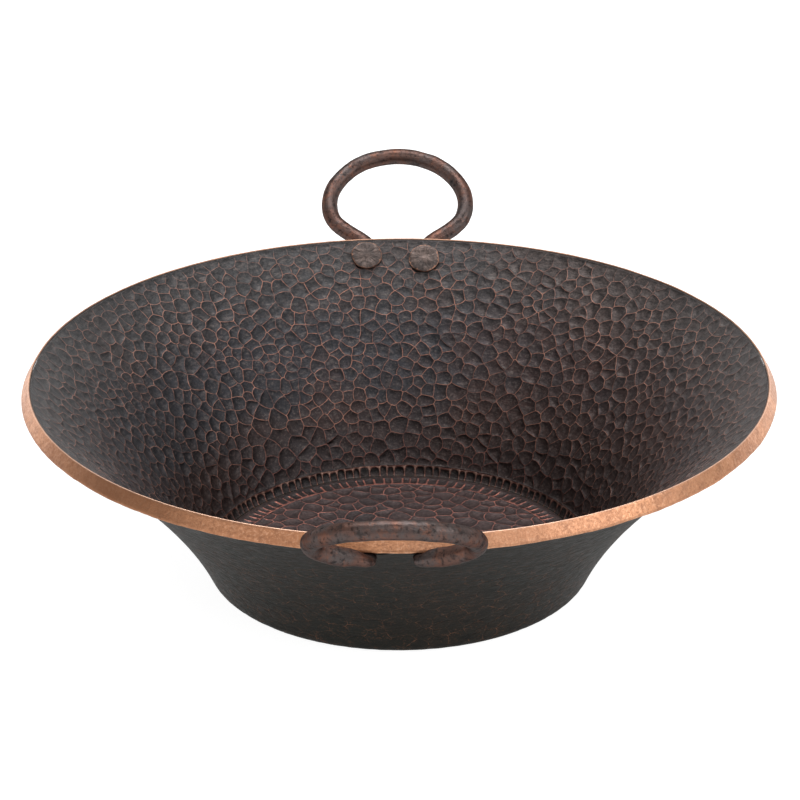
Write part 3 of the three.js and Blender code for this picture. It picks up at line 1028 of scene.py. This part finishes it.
def band_material(name):
    """Bare copper, mottled, with its top corner rubbed bright under a painted highlight, and its inside
    dull.
    """
    n = Nodes(name)
    crest = n.attribute("crest")
    speckle = n.noise(620, 4, 0.7)
    blots = n.noise(150, 5, 0.7)
    clouds = n.noise(30, 4, 0.6)
    wide = n.noise(7, 2)
    colour = n.mix(n.span(clouds, 0.35, 0.65), *BARE_COPPER)
    colour = n.cover(colour, BAND_BLOT, blots, 0.48, 0.66, 0.5)
    colour = n.cover(colour, BAND_SPECK, speckle, 0.5, 0.68, 0.6)
    colour = n.cover(colour, BAND_GLINT, speckle, 0.5, 0.34, 0.4)
    colour = n.cover(colour, PINK_COPPER, wide, 0.35, 0.65, 0.35)
    colour = n.cover(colour, BROWN_COPPER, n.away_from(BAND_STAIN), 0.12, 0.02, 0.6)
    # Painted highlight along the top corner, over copper rubbed bare there.
    colour = n.cover(colour, RUBBED_AND_HIGHLIGHT_CORNER, crest, 0.1, 1.0, 0.8)
    colour = n.cover(colour, BAND_INSIDE, crest, 0.0, -0.7, 0.95)
    rough = n.span(speckle, 0.3, 0.7, 0.34, 0.5)
    normal = n.bump(speckle, 0.35, 0.0005)
    normal = n.bump(n.noise(120, 3), 0.3, 0.0008, normal)
    return n.finish(colour, rough, 1.0, normal)


def handle_material(name):
    """Forged rod, part grey oxide and part orange, with black specks and scale."""
    n = Nodes(name)
    clouds = n.noise(70, 5, 0.65)
    scale = n.noise(120, 5, 0.75)
    spots = n.noise(190, 5, 0.7)
    specks = n.noise(420, 4, 0.7)
    grain = n.noise(900, 3, 0.6)
    colour = n.mix(n.span(clouds, 0.38, 0.62), *ROD)
    colour = n.cover(colour, ROD_RUST, spots, 0.5, 0.68, 0.6)
    colour = n.cover(colour, ROD_SPECK, specks, 0.52, 0.66, 0.75)
    colour = n.cover(colour, ROD_SCALE, scale, 0.53, 0.64, 0.65)
    rough = n.span(grain, 0.2, 0.8, 0.3, 0.48)
    normal = n.bump(grain, 0.35, 0.0004)
    normal = n.bump(spots, 0.45, 0.0007, normal)
    n.shader.inputs["Specular Tint"].default_value = grey(0.3)
    return n.finish(colour, rough, 0.85, normal)


def rivet_material(name):
    """Dull copper, rubbed bright on the strokes' ridges."""
    n = Nodes(name)
    crest = n.attribute("crest")
    spots = n.noise(260, 4, 0.6)
    specks = n.noise(700, 4, 0.7)
    colour = n.mix(n.span(spots, 0.35, 0.65), *RIVET)
    colour = n.cover(colour, RIVET_SPECK, specks, 0.5, 0.68, 0.6)
    ragged = n.jitter(crest, specks, 0.7)
    colour = n.cover(colour, RIVET_RIDGE, ragged, 0.35, 0.9, 0.75)
    colour = n.cover(colour, RIVET_HOLLOW, ragged, -0.1, -0.9, 0.85)
    rough = n.span(specks, 0.2, 0.8, 0.34, 0.52)
    normal = n.bump(specks, 0.4, 0.0004)
    normal = n.bump(spots, 0.5, 0.0009, normal)
    return n.finish(colour, rough, 0.75, normal)


def dress(piece, materials, slot, *nodes):
    """Gives a piece its materials and body, and hides the CAD nodes that it stands for. The slot is not
    used.
    """
    for material in materials:
        piece.data.materials.append(material)
    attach(piece, "root")
    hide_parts(*nodes)


ALL_BROWN = (1.0, 2.0)  # heights above all of the floor
ALL_BRIGHT = (-0.02, 0.0)  # and below all of it
wall_inside = hammered_material("hammered_wall", WALL_BROWN, (0.02, 0.06), WALL_LINES, (0.01, 0.045))
floor_inside = hammered_material("hammered_floor", FLOOR_BROWN, ALL_BROWN, FLOOR_LINES, ALL_BRIGHT)
outside = outer_material("brushed_outside")
dress(side_wall, (wall_inside, outside), "wall_patina", "side_wall")
dress(floor_disc, (floor_inside, outside), "floor_patina", "floor_disc")
dress(rim_band, (band_material("bare_copper_band"),), "bare_band", "rim_band")
rod = handle_material("oxidised_rod")
for node, piece in handles.items():
    dress(piece, (rod,), "handle_metal", node)
copper_head = rivet_material("hammered_rivet")
for node, piece in rivets.items():
    dress(piece, (copper_head,), "rivet_metal", node)

# ---- Floor, light and camera ----
PAPER_GLOW = 0.91  # a floor lit from below, as on a photographer's light table
SKY_STRENGTH = 0.47
REACH = 6.0
corners = [(-REACH, -REACH, 0), (REACH, -REACH, 0), (REACH, REACH, 0), (-REACH, REACH, 0)]
stage_mesh = bpy.data.meshes.new("studio_floor")
stage_mesh.from_pydata(corners, [], [(0, 1, 2, 3)])
stage = bpy.data.objects.new("studio_floor", stage_mesh)
bpy.context.scene.collection.objects.link(stage)
paper = Nodes("studio_paper")
paper_colour = paper.mix(paper.noise(3, 2), grey(0.29), grey(0.31))
paper_grain = paper.bump(paper.noise(60), 0.02, 0.001)
stage_mesh.materials.append(paper.finish(paper_colour, 0.9, 0.0, paper_grain))
paper.shader.inputs["Emission Color"].default_value = grey(1.0)
paper.shader.inputs["Emission Strength"].default_value = PAPER_GLOW

world = bpy.data.worlds.new("studio")
world.use_nodes = True
world.node_tree.nodes["Background"].inputs["Color"].default_value = grey(1.0)
world.node_tree.nodes["Background"].inputs["Strength"].default_value = SKY_STRENGTH
bpy.context.scene.world = world
bpy.context.scene.view_settings.view_transform = "Standard"


def softbox(name, place, aim_height, size, watts):
    """A rectangle of light, aimed at the axis at the height given."""
    light = bpy.data.lights.new(name, "AREA")
    light.shape = "RECTANGLE"
    light.size, light.size_y = size
    light.energy = watts
    lamp = bpy.data.objects.new(name, light)
    lamp.location = place
    aim = Vector((0, 0, aim_height)) - Vector(place)
    lamp.rotation_euler = aim.to_track_quat("-Z", "Y").to_euler()
    bpy.context.scene.collection.objects.link(lamp)


softbox("top", (0, 0.5, 1.9), 0.08, (1.6, 1.2), 32)
softbox("key_right", (1.6, -0.7, 1.3), 0.08, (0.9, 1.3), 13)
softbox("front_high", (0, -1.6, 1.6), 0.1, (1.2, 1.0), 9.5)
softbox("front_left", (-1.4, -1.4, 0.7), 0.1, (0.8, 0.8), 4)
softbox("front_right", (1.4, -1.4, 0.7), 0.1, (0.8, 0.8), 4.5)
softbox("back_high", (0, 1.6, 1.2), 0.1, (1.2, 1.0), 3)
# The low backdrop is what brightens the wall's flanks near the rim.
softbox("backdrop", (0, 2.2, 0.45), 0.1, (4.0, 0.9), 11)
softbox("backdrop_left", (-1.7, 1.5, 0.4), 0.1, (1.4, 0.7), 6)
softbox("backdrop_right", (1.7, 1.5, 0.4), 0.1, (1.4, 0.7), 7)

DISTANCE = 1.7  # from the rim's centre
ELEVATION = 0.41063  # in radians
AIM_ACROSS, AIM_UP, ROLL = 0.00028, -0.00921, -0.00374  # small turns away from the rim's centre
FOCAL_RATIO = 3.92  # focal length over sensor width
SENSOR_WIDTH = 36

out = Vector((0, -math.cos(ELEVATION), math.sin(ELEVATION)))
right = Vector((1, 0, 0))
up = right.cross(-out)
forward = (-out + AIM_ACROSS * right + AIM_UP * up).normalized()
side = forward.cross(up).normalized()
top = side.cross(forward)
roll_side = side * math.cos(ROLL) + top * math.sin(ROLL)
roll_top = -side * math.sin(ROLL) + top * math.cos(ROLL)
place = Vector((0, 0, RIM[1] * MM)) + DISTANCE * out
camera_data = bpy.data.cameras.new("camera")
camera_data.sensor_width = SENSOR_WIDTH
camera_data.lens = SENSOR_WIDTH * FOCAL_RATIO
camera = bpy.data.objects.new("camera", camera_data)
basis = Matrix((roll_side, roll_top, -forward)).transposed().to_4x4()
camera.matrix_world = Matrix.Translation(place) @ basis
bpy.context.scene.collection.objects.link(camera)
bpy.context.scene.camera = camera
